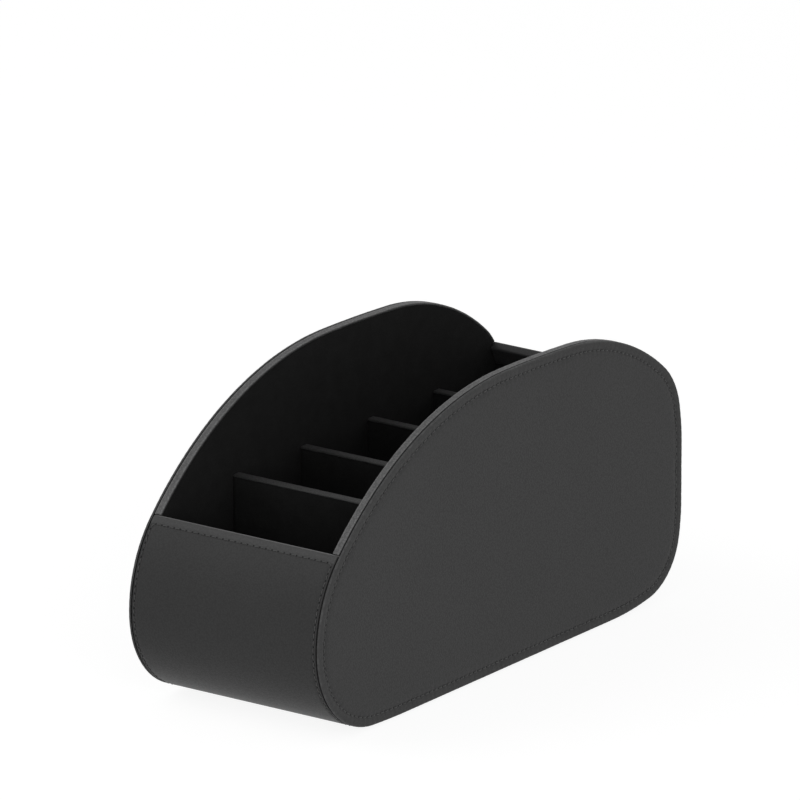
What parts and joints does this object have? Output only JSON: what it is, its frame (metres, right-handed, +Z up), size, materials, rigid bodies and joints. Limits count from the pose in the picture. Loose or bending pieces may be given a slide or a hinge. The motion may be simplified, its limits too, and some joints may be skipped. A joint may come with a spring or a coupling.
{
  "type": "remote control holder",
  "caption": "Open-topped leather-covered desk caddy with tall rounded side panels, a low front lip and upright dividers that form compartments for remote controls.",
  "frame": {"origin": "on the table, under the middle of the holder's length and width, at the underside of the base pad", "axes": "+X towards the right-hand side panel seen from the front, +Y from the low front lip towards the back, +Z up"},
  "size_m": [0.093, 0.25, 0.1256],
  "materials": {
    "side_leather": "matt black synthetic leather with a fine grain",
    "wrap_leather": "matt black synthetic leather with a fine grain",
    "rim_leather": "black synthetic leather strip, satin, coarse grain",
    "lining": "black short-nap felt",
    "board": "grey-brown pressed board",
    "pad": "black non-slip felt"
  },
  "bodies": {
    "root": {"side_board_right": "board", "side_leather_right": "side_leather", "side_lining_right": "lining", "rim_strip_right": "rim_leather", "side_board_left": "board", "side_leather_left": "side_leather", "side_lining_left": "lining", "rim_strip_left": "rim_leather", "front_board": "board", "base_board": "board", "back_board": "board", "wrap_leather": "wrap_leather", "wrap_lining": "lining", "divider_board_1": "board", "divider_lining_1": "lining", "divider_board_2": "board", "divider_lining_2": "lining", "divider_board_3": "board", "divider_lining_3": "lining", "divider_board_4": "board", "divider_lining_4": "lining", "base_pad": "pad"}
  },
  "joints": []
}
